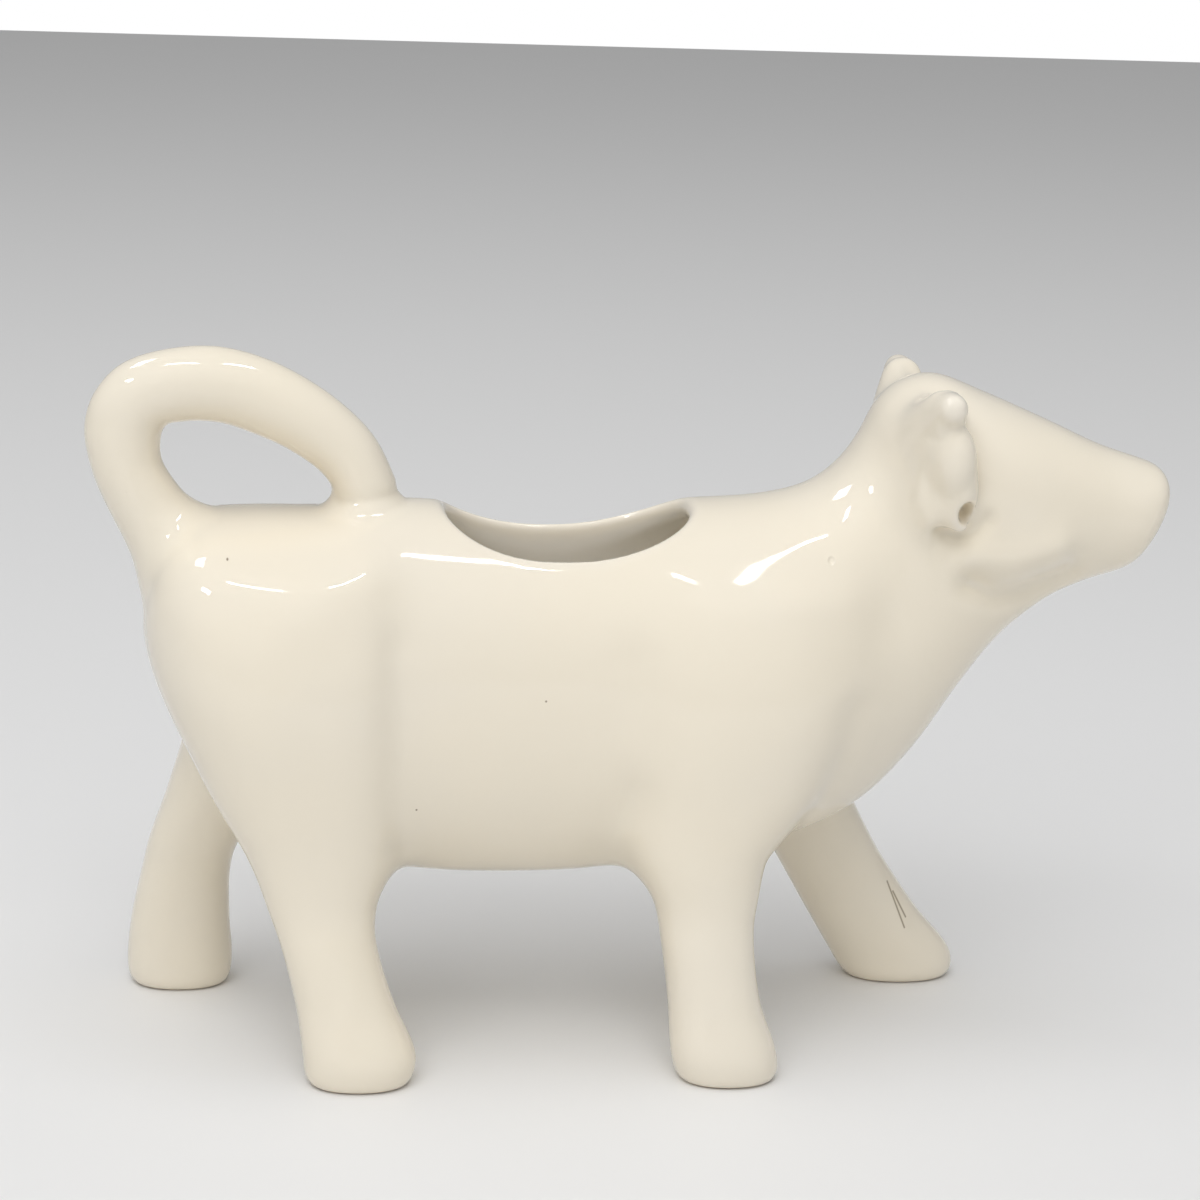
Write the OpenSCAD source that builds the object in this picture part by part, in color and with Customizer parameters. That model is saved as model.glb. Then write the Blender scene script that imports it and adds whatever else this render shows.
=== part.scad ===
// A cow creamer: a hollow white-glazed ceramic cow with a filler opening in its
// back, a pouring hole in its muzzle and its tail bent over as the handle.
// +X is towards the head, +Y towards the cow's left side, +Z up, and the feet
// stand on z = 0. The cow is symmetric about y = 0 but for its striding legs.

/* [Body casting] */
// Length of the body casting, rump to muzzle
casting_l = 157.5; // [135:0.5:180]
// Height of the poll, the top of the head between the horns
poll_h = 104.8; // [90:0.2:120]
// Width of the body casting at the haunches
haunch_w = 49.5; // [42:0.5:58]
// Thickness of the fired wall
wall = 3.2; // [2.6:0.1:4]

/* [Filler opening] */
// Length of the filler opening along the back
filler_l = 36.5; // [26:0.5:42]
// Width of the filler opening across the back
filler_w = 25.5; // [18:0.5:30]
// Distance of its middle from the rump
filler_x = 64; // [56:0.5:70]

/* [Pouring hole] */
// Diameter of the pouring hole in the muzzle
spout_d = 7; // [6:0.5:8]

/* [Legs] */
// Distance between the middles of the left and the right feet
stance_w = 43.5; // [38:0.5:50]
// Height of the luting joints, where the legs meet the body casting
joint_h = 26; // [23:0.5:27]
// Length of a hoof
hoof_l = 17; // [14:0.2:20]
// Width of a hoof
hoof_w = 13.5; // [11:0.2:15]

/* [Tail handle] */
// Height of the tail loop above the back
loop_h = 22; // [18:0.5:28]
// Reach of the tail loop, front to back
loop_l = 47; // [40:0.5:54]
// Width of the tail across its round section
tail_w = 11; // [9:0.5:13]

/* [Head] */
// Distance from tip to tip of the horns
horns_w = 42.5; // [36:0.5:50]
// Height of an ear
ear_h = 15; // [12:0.5:18]

/* [Facets] */
// Number of sides round the body casting
body_sides = 36; // [24:4:40]
// Number of sides round a leg, the tail, an ear or a horn
limb_sides = 20; // [16:4:24]

/* [Hidden] */

glaze = "#f3ece0";
foot_glaze = "#eee5d6";

// The rump lies this share of the casting's length behind x = 0, which centres
// the whole creamer, tail loop and muzzle, over the origin
rump_share = 0.4735;
rump_x = -rump_share * casting_l;
back_share = 0.802;
back_h = back_share * poll_h;

// Rings that a smooth curve draws between two neighbouring rows of a table
body_steps = 2;
limb_steps = 2;

// Side view of the casting, one oval cross-section to a row, from the rump along
// the back, up the neck and along the head to the muzzle:
// [x of the top edge, height of the top edge, x of the bottom edge, height of the
//  bottom edge, half width], as shares of casting_l, poll_h and haunch_w / 2
casting_shares = [
    [0.004, 0.640, 0.004, 0.610, 0.14],
    [0.009, 0.694, 0.013, 0.560, 0.46],
    [0.024, 0.746, 0.033, 0.500, 0.72],
    [0.055, 0.780, 0.067, 0.428, 0.91],
    [0.105, 0.788, 0.110, 0.346, 1.00],
    [0.170, 0.789, 0.163, 0.287, 1.00],
    [0.210, 0.794, 0.205, 0.272, 0.97],
    [0.245, 0.802, 0.245, 0.264, 0.89],
    [0.320, 0.797, 0.320, 0.255, 0.865],
    [0.410, 0.796, 0.410, 0.256, 0.855],
    [0.485, 0.801, 0.485, 0.268, 0.90],
    [0.542, 0.806, 0.542, 0.282, 0.95],
    [0.600, 0.813, 0.606, 0.297, 0.93],
    [0.644, 0.832, 0.663, 0.328, 0.80],
    [0.673, 0.867, 0.711, 0.372, 0.69],
    [0.692, 0.911, 0.756, 0.445, 0.61],
    [0.706, 0.955, 0.795, 0.534, 0.59],
    [0.728, 0.985, 0.833, 0.611, 0.60],
    [0.762, 0.996, 0.875, 0.665, 0.61],
    [0.811, 0.970, 0.904, 0.688, 0.58],
    [0.875, 0.930, 0.922, 0.698, 0.50],
    [0.926, 0.896, 0.936, 0.704, 0.44],
    [0.965, 0.877, 0.948, 0.710, 0.41],
    [0.988, 0.864, 0.961, 0.722, 0.37],
    [0.997, 0.840, 0.974, 0.755, 0.28]
];
// The milk space follows the rows from this one to that one, a wall inside them
space_first_row = 2;
space_last_row = 21;
// Corner exponent of the casting's oval: 2 is an ellipse, more is squarer
oval_exponent = 2.25;
// The same of the filler opening's oval
filler_exponent = 2.8;

// Centre line and size of each leg, from the foot up to its root in the body:
// [height, x, distance from the mid plane, half length, half width], as shares
// of joint_h, casting_l from the rump, stance_w / 2, hoof_l / 2 and hoof_w / 2
right_hind_shares = [
    [0.00, 0.210, 1.00, 0.84, 0.82],
    [0.06, 0.210, 1.00, 0.96, 0.96],
    [0.20, 0.209, 1.00, 0.99, 1.00],
    [0.46, 0.196, 0.95, 0.87, 0.93],
    [0.78, 0.181, 0.89, 0.84, 0.95],
    [1.00, 0.174, 0.83, 0.95, 1.02],
    [1.32, 0.170, 0.77, 1.24, 1.22],
    [1.78, 0.155, 0.71, 1.56, 1.36],
    [2.30, 0.145, 0.63, 1.66, 1.50],
    [2.80, 0.142, 0.50, 1.40, 1.25]
];
left_hind_shares = [
    [0.00, 0.037, 1.00, 0.84, 0.82],
    [0.06, 0.036, 1.00, 0.96, 0.96],
    [0.20, 0.036, 1.00, 0.99, 1.00],
    [0.46, 0.037, 0.95, 0.92, 0.93],
    [0.78, 0.043, 0.89, 0.83, 0.95],
    [1.00, 0.053, 0.83, 0.86, 1.02],
    [1.32, 0.078, 0.77, 1.00, 1.22],
    [1.78, 0.115, 0.71, 1.30, 1.36],
    [2.30, 0.140, 0.63, 1.55, 1.50],
    [2.80, 0.142, 0.50, 1.40, 1.25]
];
right_front_shares = [
    [0.00, 0.562, 1.00, 0.82, 0.82],
    [0.06, 0.561, 1.00, 0.93, 0.96],
    [0.20, 0.557, 1.00, 0.94, 1.00],
    [0.46, 0.548, 0.95, 0.83, 0.93],
    [0.78, 0.541, 0.89, 0.83, 0.95],
    [1.00, 0.539, 0.83, 0.91, 1.02],
    [1.32, 0.538, 0.77, 1.20, 1.22],
    [1.78, 0.560, 0.71, 1.55, 1.32],
    [2.25, 0.577, 0.62, 1.70, 1.42],
    [2.70, 0.580, 0.50, 1.40, 1.15]
];
left_front_shares = [
    [0.00, 0.786, 1.00, 0.96, 0.82],
    [0.06, 0.785, 1.00, 1.12, 0.96],
    [0.20, 0.775, 1.00, 1.20, 1.00],
    [0.46, 0.744, 0.95, 1.10, 0.93],
    [0.78, 0.710, 0.89, 1.04, 0.95],
    [1.00, 0.688, 0.83, 1.04, 1.02],
    [1.32, 0.655, 0.76, 1.15, 1.18],
    [1.78, 0.608, 0.69, 1.50, 1.28],
    [2.25, 0.585, 0.60, 1.60, 1.38],
    [2.70, 0.580, 0.50, 1.40, 1.15]
];
// Row of the tables above that is the luting joint
leg_joint_row = 5;

// The tail loop in side view, from its root in the rump, up, over and down to
// the back: [x and height of its outer edge, x and height of its inner edge,
// half width], as shares of loop_l in front of its rearmost point, loop_h above
// the back and tail_w / 2
tail_shares = [
    [0.200, -0.560, 0.420, -0.400, 1.20],
    [0.110, -0.230, 0.375, -0.130, 1.15],
    [0.042, 0.070, 0.300, 0.070, 1.05],
    [0.010, 0.290, 0.246, 0.250, 1.00],
    [0.000, 0.500, 0.240, 0.410, 1.00],
    [0.032, 0.720, 0.260, 0.505, 1.00],
    [0.115, 0.912, 0.308, 0.525, 1.00],
    [0.245, 1.012, 0.364, 0.532, 1.00],
    [0.400, 1.042, 0.438, 0.515, 1.00],
    [0.545, 0.978, 0.522, 0.455, 1.00],
    [0.685, 0.842, 0.610, 0.375, 1.00],
    [0.818, 0.645, 0.690, 0.275, 1.00],
    [0.920, 0.410, 0.745, 0.180, 1.02],
    [0.995, 0.070, 0.775, 0.070, 1.12],
    [1.020, -0.100, 0.750, -0.100, 1.35],
    [1.010, -0.300, 0.760, -0.300, 1.20]
];
// Rows of the table above that are the luting joints
tail_first_row = 2;
tail_last_row = 13;

// A horn, from its root in the head to its tip: [distance out, as a share of the
// way from its seat on the head's side to horns_w / 2, x and height of its middle,
// as shares of casting_l from the rump and of poll_h, half length and half height,
// as shares of horns_w]
horn_shares = [
    [-0.76, 0.752, 0.930, 0.080, 0.070],
    [0.00, 0.751, 0.963, 0.088, 0.070],
    [0.35, 0.751, 0.970, 0.076, 0.067],
    [0.65, 0.751, 0.974, 0.068, 0.061],
    [0.88, 0.751, 0.977, 0.050, 0.046],
    [1.00, 0.751, 0.978, 0.022, 0.020]
];
// An ear, a hanging lobe, with the same columns, but its heights are measured from
// its own middle and they and its half sizes are shares of ear_h
ear_shares = [
    [-0.90, 0.740, 0.00, 0.34, 0.40],
    [0.00, 0.745, 0.00, 0.38, 0.50],
    [0.35, 0.752, 0.01, 0.30, 0.47],
    [0.65, 0.759, 0.03, 0.21, 0.40],
    [0.88, 0.763, 0.05, 0.13, 0.30],
    [0.97, 0.764, 0.06, 0.06, 0.14]
];
// Row of either table above that is the luting joint
head_joint_row = 1;
// How far out the head's side is at the seats of the horns and of the ears, as
// shares of haunch_w / 2
horn_seat_share = 0.566;
ear_seat_share = 0.60;
horn_seat = horn_seat_share * haunch_w / 2;
ear_seat = ear_seat_share * haunch_w / 2;
// Gap between an ear and the horn above it, and the height of the ear's middle
ear_gap = 0.4;
horn_seat_row = horn_shares[head_joint_row];
ear_z = horn_seat_row[2] * poll_h - horn_seat_row[4] * horns_w - ear_gap - ear_h / 2;

// One point of the smooth curve through the rows of table t, a share u of the
// way from row i to the next
function between(t, i, u) =
    let (p = t[max(i - 1, 0)], q = t[i], r = t[i + 1], s = t[min(i + 2, len(t) - 1)])
    q + ((r - p) * u + (2 * p - 5 * q + 4 * r - s) * u * u
        + (3 * q - p - 3 * r + s) * u * u * u) / 2;

// All rows of table t from row first to row last, with steps - 1 more between
// each two
function smooth(t, steps, first, last) = [
    for (i = [first : last - 1]) for (k = [0 : steps - 1]) between(t, i, k / steps),
    t[last]
];

// A cosine or sine drawn out towards the corners of an oval
function corner(v, exponent) = sign(v) * pow(abs(v), 2 / exponent);

// An oval ring that spans the points top and bottom, [x, z], of the mid plane and
// reaches half_w to each side of y = mid_y
function oval(top, bottom, half_w, mid_y, exponent, sides) = [
    for (k = [0 : sides - 1])
        let (across = corner(cos(360 * k / sides), exponent),
             up = corner(sin(360 * k / sides), exponent),
             at = (top + bottom) / 2 + (top - bottom) / 2 * up)
        [at[0], mid_y + half_w * across, at[1]]
];

// A solid skinned over rings of points, with a flat end on the first and last
module skin(rings) {
    sides = len(rings[0]);
    last = len(rings) - 1;
    middle = [for (r = [rings[0], rings[last]]) [for (c = [0 : 2]) [for (p = r) p[c]] * [for (p = r) 1] / sides]];
    points = [for (r = rings) each r, middle[0], middle[1]];
    first_middle = len(points) - 2;
    faces = [
        for (i = [0 : last - 1]) for (k = [0 : sides - 1])
            let (a = i * sides + k, b = i * sides + (k + 1) % sides)
            each [[a, a + sides, b + sides], [a, b + sides, b]],
        for (k = [0 : sides - 1])
            each [[first_middle, k, (k + 1) % sides],
                  [first_middle + 1, last * sides + (k + 1) % sides, last * sides + k]]
    ];
    polyhedron(points = points, faces = faces, convexity = 6);
}

// The casting's table in millimetres, and the same drawn in by a depth, which
// makes the milk space
casting_rows = [
    for (s = casting_shares)
        [rump_x + s[0] * casting_l, s[1] * poll_h, rump_x + s[2] * casting_l, s[3] * poll_h, s[4] * haunch_w / 2]
];
function drawn_in(row, depth) =
    let (top = [row[0], row[1]], bottom = [row[2], row[3]], step = (bottom - top) / norm(bottom - top) * depth)
    [top[0] + step[0], top[1] + step[1], bottom[0] - step[0], bottom[1] - step[1], row[4] - depth];

module casting_loft(first, last, depth, sides) {
    skin([
        for (r = smooth(casting_rows, body_steps, first, last))
            let (d = drawn_in(r, depth))
            oval([d[0], d[1]], [d[2], d[3]], d[4], 0, oval_exponent, sides)
    ]);
}

// Height of the casting's back at the point (x, y), a depth below its skin
function back_z(x, y, depth) =
    let (top = lookup(x, [for (r = casting_rows) if (r[0] < 0.2 * casting_l) [r[0], r[1] - depth]]),
         bottom = lookup(x, [for (r = casting_rows) if (r[0] < 0.2 * casting_l) [r[0], r[3] + depth]]),
         half_w = lookup(x, [for (r = casting_rows) if (r[0] < 0.2 * casting_l) [r[0], r[4] - depth]]))
    (top + bottom) / 2 + (top - bottom) / 2 * pow(1 - pow(abs(y) / half_w, oval_exponent), 1 / oval_exponent);

// The filler opening: a cut from the milk space to above the back, whose side is
// hollowed so that the wall ends in a round lip. It follows an oval on the middle of
// the wall
filler_mid_x = rump_x + filler_x;
lip_l = filler_l + wall;
lip_w = filler_w + wall;
lip_count = 40;
// The oval's point at the angle a, and its way out from there
function filler_point(a) = [
    filler_mid_x + lip_l / 2 * corner(cos(a), filler_exponent),
    lip_w / 2 * corner(sin(a), filler_exponent)
];
function filler_out(a) =
    let (p = 2 - 2 / filler_exponent,
         slope = [sign(cos(a)) * pow(abs(cos(a)), p) / lip_l, sign(sin(a)) * pow(abs(sin(a)), p) / lip_w])
    slope / norm(slope);
// Profile of the cut, from inside to outside: how far out along the wall and how far
// off its middle, as shares of half the wall
lip_shares = [
    [0.40, -2.00],
    [-0.26, -0.97],
    [-0.64, -0.77],
    [-0.90, -0.42],
    [-1.00, 0.00],
    [-0.90, 0.42],
    [-0.64, 0.77],
    [-0.26, 0.97],
    [0.30, 1.80]
];
module filler_cut() {
    rim = [
        for (i = [0 : lip_count - 1])
            let (p = filler_point(360 * i / lip_count),
                 out = filler_out(360 * i / lip_count),
                 ahead = p + out / 2,
                 behind = p - out / 2,
                 tilt = atan(back_z(ahead[0], ahead[1], wall / 2) - back_z(behind[0], behind[1], wall / 2)))
            [[p[0], p[1], back_z(p[0], p[1], wall / 2)],
             [out[0] * cos(tilt), out[1] * cos(tilt), sin(tilt)],
             [-out[0] * sin(tilt), -out[1] * sin(tilt), cos(tilt)]]
    ];
    rings = [for (s = lip_shares) [for (r = rim) r[0] + wall / 2 * (s[0] * r[1] + s[1] * r[2])]];
    above = [for (q = rings[len(rings) - 1]) [q[0], q[1], 1.2 * back_h]];
    skin([each rings, above]);
}

// The pouring hole, level through the muzzle into the milk space
spout_h = 0.79 * poll_h;
spout_from = rump_x + 0.9 * casting_l;
module spout_cut() {
    translate([spout_from, 0, spout_h]) rotate([0, 90, 0])
        cylinder(d = spout_d, h = 0.2 * casting_l, $fn = limb_sides);
}

// A leg's rows from first to last. side is 1 on the cow's left, -1 on its right
module leg_loft(shares, side, first, last) {
    skin([
        for (s = smooth(shares, limb_steps, first, last))
            let (x = rump_x + s[1] * casting_l, half_l = s[3] * hoof_l / 2, z = s[0] * joint_h)
            oval([x - half_l, z], [x + half_l, z], s[4] * hoof_w / 2, side * s[2] * stance_w / 2,
                oval_exponent, limb_sides)
    ]);
}

// The tail's rows from first to last
tail_x = rump_x - 0.05 * casting_l;
module tail_loft(first, last) {
    skin([
        for (s = smooth(tail_shares, limb_steps, first, last))
            oval([tail_x + s[0] * loop_l, back_h + s[1] * loop_h],
                [tail_x + s[2] * loop_l, back_h + s[3] * loop_h], s[4] * tail_w / 2, 0, 2, limb_sides)
    ]);
}

// An ear's or a horn's rows from first to last, as rings that face sideways. Its
// seat is that far out on the head's side, and heights are shares of high above from_z
module side_loft(shares, seat, from_z, high, size, side, first, last) {
    skin([
        for (s = smooth(shares, limb_steps, first, last))
            [for (k = [0 : limb_sides - 1])
                let (a = side * 360 * k / limb_sides)
                [rump_x + s[1] * casting_l + s[3] * size * sin(a),
                 side * (seat + s[0] * (horns_w / 2 - seat)),
                 from_z + s[2] * high + s[4] * size * cos(a)]]
    ]);
}
module horn_loft(side, first, last) {
    side_loft(horn_shares, horn_seat, 0, poll_h, horns_w, side, first, last);
}
module ear_loft(side, first, last) {
    side_loft(ear_shares, ear_seat, ear_z, ear_h, ear_h, side, first, last);
}

module body_casting() {
    color(glaze)
        difference() {
            union() {
                casting_loft(0, len(casting_shares) - 1, 0, body_sides);
                leg_loft(right_hind_shares, -1, leg_joint_row, len(right_hind_shares) - 1);
                leg_loft(left_hind_shares, 1, leg_joint_row, len(left_hind_shares) - 1);
                leg_loft(right_front_shares, -1, leg_joint_row, len(right_front_shares) - 1);
                leg_loft(left_front_shares, 1, leg_joint_row, len(left_front_shares) - 1);
                tail_loft(0, tail_first_row);
                tail_loft(tail_last_row, len(tail_shares) - 1);
                for (side = [-1, 1]) {
                    ear_loft(side, 0, head_joint_row);
                    horn_loft(side, 0, head_joint_row);
                }
            }
            casting_loft(space_first_row, space_last_row, wall, body_sides);
            filler_cut();
            spout_cut();
        }
}

module tail_handle() color(glaze) tail_loft(tail_first_row, tail_last_row);
module right_hind_leg() color(foot_glaze) leg_loft(right_hind_shares, -1, 0, leg_joint_row);
module left_hind_leg() color(foot_glaze) leg_loft(left_hind_shares, 1, 0, leg_joint_row);
module right_front_leg() color(foot_glaze) leg_loft(right_front_shares, -1, 0, leg_joint_row);
module left_front_leg() color(foot_glaze) leg_loft(left_front_shares, 1, 0, leg_joint_row);
module right_ear() color(glaze) ear_loft(-1, head_joint_row, len(ear_shares) - 1);
module left_ear() color(glaze) ear_loft(1, head_joint_row, len(ear_shares) - 1);
module right_horn() color(glaze) horn_loft(-1, head_joint_row, len(horn_shares) - 1);
module left_horn() color(glaze) horn_loft(1, head_joint_row, len(horn_shares) - 1);

body_casting();
tail_handle();
right_hind_leg();
left_hind_leg();
right_front_leg();
left_front_leg();
right_ear();
left_ear();
right_horn();
left_horn();
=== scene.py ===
"""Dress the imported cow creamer: a white-glazed ceramic, luted together from ten cast pieces.

The forms are surfaces on grids of two parameters: an oval profile carried along a path. They are
pressed into one block of clay, a grid of distances to the surface, where each form melts into the
next as slip and glaze fill the joints. The finished skin is then parted at the luting joints, one
closed piece to each node of the frame. Shapes are in millimetres until a piece is made.
"""

from __future__ import annotations

import logging
import math
import sys
from dataclasses import dataclass, field
from enum import Enum

import bpy
import numpy as np
import openvdb
from mathutils import Matrix, Vector


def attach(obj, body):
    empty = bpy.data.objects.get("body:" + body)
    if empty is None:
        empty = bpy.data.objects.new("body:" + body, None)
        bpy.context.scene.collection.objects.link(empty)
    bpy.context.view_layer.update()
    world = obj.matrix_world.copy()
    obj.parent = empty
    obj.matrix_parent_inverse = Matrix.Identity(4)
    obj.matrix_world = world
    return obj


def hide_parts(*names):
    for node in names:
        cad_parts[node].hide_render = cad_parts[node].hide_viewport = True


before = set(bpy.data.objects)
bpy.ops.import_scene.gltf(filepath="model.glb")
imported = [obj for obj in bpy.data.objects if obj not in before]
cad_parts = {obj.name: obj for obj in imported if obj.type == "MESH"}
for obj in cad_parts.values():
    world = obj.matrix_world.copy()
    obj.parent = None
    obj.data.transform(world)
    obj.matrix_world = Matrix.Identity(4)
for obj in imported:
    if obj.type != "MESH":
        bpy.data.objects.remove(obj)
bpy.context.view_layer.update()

LOG = logging.getLogger("creamer")
MM = 0.001
BODY = "root"
CURVATURE = "glaze_curvature"
# Depth under the outside of the casting, which the material reads to paint light inside the milk space
DEPTH = "depth_under_outside"

Pair = tuple[float, float]
Triple = tuple[float, float, float]
Colour = tuple[float, float, float, float]
Pellet = tuple[Triple, Triple]
Box = tuple[np.ndarray, np.ndarray]
Socket = bpy.types.NodeSocket
Value = Socket | float


class HeadKind(Enum):
    """What stands on the side of the head; the value is the end of the node's name."""

    EAR = "ear"
    HORN = "horn"


class Side(Enum):
    """A side of the cow; the value is the sign of y there."""

    RIGHT = -1
    LEFT = 1


@dataclass(frozen=True)
class Sizes:
    """Driving sizes of the creamer, in millimetres, as the frame was built to."""

    casting_l: float = 157.5
    poll_h: float = 104.8
    haunch_w: float = 49.5
    wall: float = 3.2
    rump_share: float = 0.4735
    filler_l: float = 36.5
    filler_w: float = 25.5
    filler_exponent: float = 2.8
    filler_x: float = 64.0
    spout_d: float = 7.0
    spout_h_share: float = 0.79
    stance_w: float = 43.5
    joint_h: float = 26.0
    hoof_l: float = 17.0
    hoof_w: float = 13.5
    loop_h: float = 22.0
    loop_l: float = 47.0
    tail_w: float = 11.0
    back_share: float = 0.802
    tail_back_share: float = 0.05
    horns_w: float = 42.5
    ear_h: float = 15.0
    ear_gap: float = 0.4
    head_side_share: float = 0.60
    horn_seat: float = 0.566
    oval_exponent: float = 2.25

    @property
    def rump_x(self) -> float:
        """Place of the rump along x."""
        return -self.rump_share * self.casting_l

    @property
    def tail_x(self) -> float:
        """Place of the tail loop's back end along x."""
        return self.rump_x - self.tail_back_share * self.casting_l

    @property
    def back_h(self) -> float:
        """Height of the back."""
        return self.back_share * self.poll_h

    @property
    def between_ear_and_horn(self) -> float:
        """Height of the middle of the gap between an ear and the horn above it."""
        horn = HORN_SHARES[HEAD_JOINT_ROW]
        return horn[2] * self.poll_h - horn[4] * self.horns_w - self.ear_gap / 2

    @property
    def ear_z(self) -> float:
        """Height of the middle of an ear's luting joint."""
        return self.between_ear_and_horn - self.ear_gap / 2 - self.ear_h / 2


# Side view of the casting from rump to muzzle, as shares of casting_l, poll_h and haunch_w / 2:
# x and height of the top edge, x and height of the bottom edge, half width
CASTING_SHARES = [
    [0.004, 0.640, 0.004, 0.610, 0.14],
    [0.009, 0.694, 0.013, 0.560, 0.46],
    [0.024, 0.746, 0.033, 0.500, 0.72],
    [0.055, 0.780, 0.067, 0.428, 0.91],
    [0.105, 0.788, 0.110, 0.346, 1.00],
    [0.170, 0.789, 0.163, 0.287, 1.00],
    [0.210, 0.794, 0.205, 0.272, 0.97],
    [0.245, 0.802, 0.245, 0.264, 0.89],
    [0.320, 0.797, 0.320, 0.255, 0.865],
    [0.410, 0.796, 0.410, 0.256, 0.855],
    [0.485, 0.801, 0.485, 0.268, 0.90],
    [0.542, 0.806, 0.542, 0.282, 0.95],
    [0.600, 0.813, 0.606, 0.297, 0.93],
    [0.644, 0.832, 0.663, 0.328, 0.80],
    [0.673, 0.867, 0.711, 0.372, 0.69],
    [0.692, 0.911, 0.756, 0.445, 0.61],
    [0.706, 0.955, 0.795, 0.534, 0.59],
    [0.728, 0.985, 0.833, 0.611, 0.60],
    [0.762, 0.996, 0.875, 0.665, 0.61],
    [0.811, 0.970, 0.904, 0.688, 0.58],
    [0.875, 0.930, 0.922, 0.698, 0.50],
    [0.926, 0.896, 0.936, 0.704, 0.44],
    [0.965, 0.877, 0.948, 0.710, 0.41],
    [0.988, 0.864, 0.961, 0.722, 0.37],
    [0.997, 0.840, 0.974, 0.755, 0.28],
]

# A leg from foot to root, as shares of joint_h, casting_l, stance_w / 2, hoof_l / 2, hoof_w / 2:
# heights, places along x, distances from the mid plane, half lengths, half widths
HIND_HEIGHTS = [0.00, 0.06, 0.20, 0.46, 0.78, 1.00, 1.32, 1.78, 2.30, 2.80]
HIND_OUT = [1.00, 1.00, 1.00, 0.95, 0.89, 0.83, 0.77, 0.71, 0.63, 0.50]
HIND_HALF_WIDTHS = [0.82, 0.96, 1.00, 0.93, 0.95, 1.02, 1.22, 1.36, 1.50, 1.25]
FRONT_HEIGHTS = [0.00, 0.06, 0.20, 0.46, 0.78, 1.00, 1.32, 1.78, 2.25, 2.70]
LEG_SHARES = {
    "right_hind_leg": [
        HIND_HEIGHTS,
        [0.210, 0.210, 0.209, 0.196, 0.181, 0.174, 0.170, 0.155, 0.145, 0.142],
        HIND_OUT,
        [0.84, 0.96, 0.99, 0.87, 0.84, 0.95, 1.24, 1.56, 1.66, 1.40],
        HIND_HALF_WIDTHS,
    ],
    "left_hind_leg": [
        HIND_HEIGHTS,
        [0.037, 0.036, 0.036, 0.037, 0.043, 0.053, 0.078, 0.115, 0.140, 0.142],
        HIND_OUT,
        [0.84, 0.96, 0.99, 0.92, 0.83, 0.86, 1.00, 1.30, 1.55, 1.40],
        HIND_HALF_WIDTHS,
    ],
    "right_front_leg": [
        FRONT_HEIGHTS,
        [0.562, 0.561, 0.557, 0.548, 0.541, 0.539, 0.538, 0.560, 0.577, 0.580],
        [1.00, 1.00, 1.00, 0.95, 0.89, 0.83, 0.77, 0.71, 0.62, 0.50],
        [0.82, 0.93, 0.94, 0.83, 0.83, 0.91, 1.20, 1.55, 1.70, 1.40],
        [0.82, 0.96, 1.00, 0.93, 0.95, 1.02, 1.22, 1.32, 1.42, 1.15],
    ],
    "left_front_leg": [
        FRONT_HEIGHTS,
        [0.786, 0.785, 0.775, 0.744, 0.710, 0.688, 0.655, 0.608, 0.585, 0.580],
        [1.00, 1.00, 1.00, 0.95, 0.89, 0.83, 0.76, 0.69, 0.60, 0.50],
        [0.96, 1.12, 1.20, 1.10, 1.04, 1.04, 1.15, 1.50, 1.60, 1.40],
        [0.82, 0.96, 1.00, 0.93, 0.95, 1.02, 1.18, 1.28, 1.38, 1.15],
    ],
}

# The tail loop from the rump over to the back, as shares of loop_l, loop_h above the back and
# tail_w / 2: x and height of its outer edge, x and height of its inner edge, half width
TAIL_SHARES = [
    [0.200, -0.560, 0.420, -0.400, 1.20],
    [0.110, -0.230, 0.375, -0.130, 1.15],
    [0.042, 0.070, 0.300, 0.070, 1.05],
    [0.010, 0.290, 0.246, 0.250, 1.00],
    [0.000, 0.500, 0.240, 0.410, 1.00],
    [0.032, 0.720, 0.260, 0.505, 1.00],
    [0.115, 0.912, 0.308, 0.525, 1.00],
    [0.245, 1.012, 0.364, 0.532, 1.00],
    [0.400, 1.042, 0.438, 0.515, 1.00],
    [0.545, 0.978, 0.522, 0.455, 1.00],
    [0.685, 0.842, 0.610, 0.375, 1.00],
    [0.818, 0.645, 0.690, 0.275, 1.00],
    [0.920, 0.410, 0.745, 0.180, 1.02],
    [0.995, 0.070, 0.775, 0.070, 1.12],
    [1.020, -0.100, 0.750, -0.100, 1.35],
    [1.010, -0.300, 0.760, -0.300, 1.20],
]
TAIL_JOINT_SHARE = 0.07

# A horn and an ear from root to tip: how far out from the luting joint on the side of the head, as a
# share of the way to the horns' tips, x as a share of casting_l, and height, half length and half
# height. A horn's height is a share of poll_h and its half sizes are shares of horns_w; an ear's
# height, from the middle of its joint, and its half sizes are shares of ear_h
HORN_SHARES = [
    [-0.76, 0.750, 0.920, 0.072, 0.064],
    [0.00, 0.750, 0.963, 0.070, 0.070],
    [0.35, 0.750, 0.968, 0.064, 0.068],
    [0.65, 0.750, 0.971, 0.057, 0.062],
    [0.85, 0.750, 0.974, 0.046, 0.050],
    [0.96, 0.750, 0.975, 0.030, 0.032],
    [1.00, 0.750, 0.975, 0.012, 0.012],
]
EAR_SHARES = [
    [-0.90, 0.752, 0.04, 0.26, 0.42],
    [0.00, 0.754, 0.04, 0.27, 0.45],
    [0.24, 0.757, 0.04, 0.23, 0.43],
    [0.42, 0.759, 0.04, 0.15, 0.35],
    [0.54, 0.760, 0.04, 0.08, 0.22],
]
HEAD_JOINT_ROW = 1
# How far an ear or a horn melts into the head, behind it and in front of it
HEAD_FILLETS = {HeadKind.EAR: (8.0, 1.0), HeadKind.HORN: (5.5, 2.0)}


@dataclass(frozen=True)
class Skin:
    """A closed surface as points with quads and triangles."""

    points: np.ndarray
    quads: np.ndarray
    triangles: np.ndarray


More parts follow.
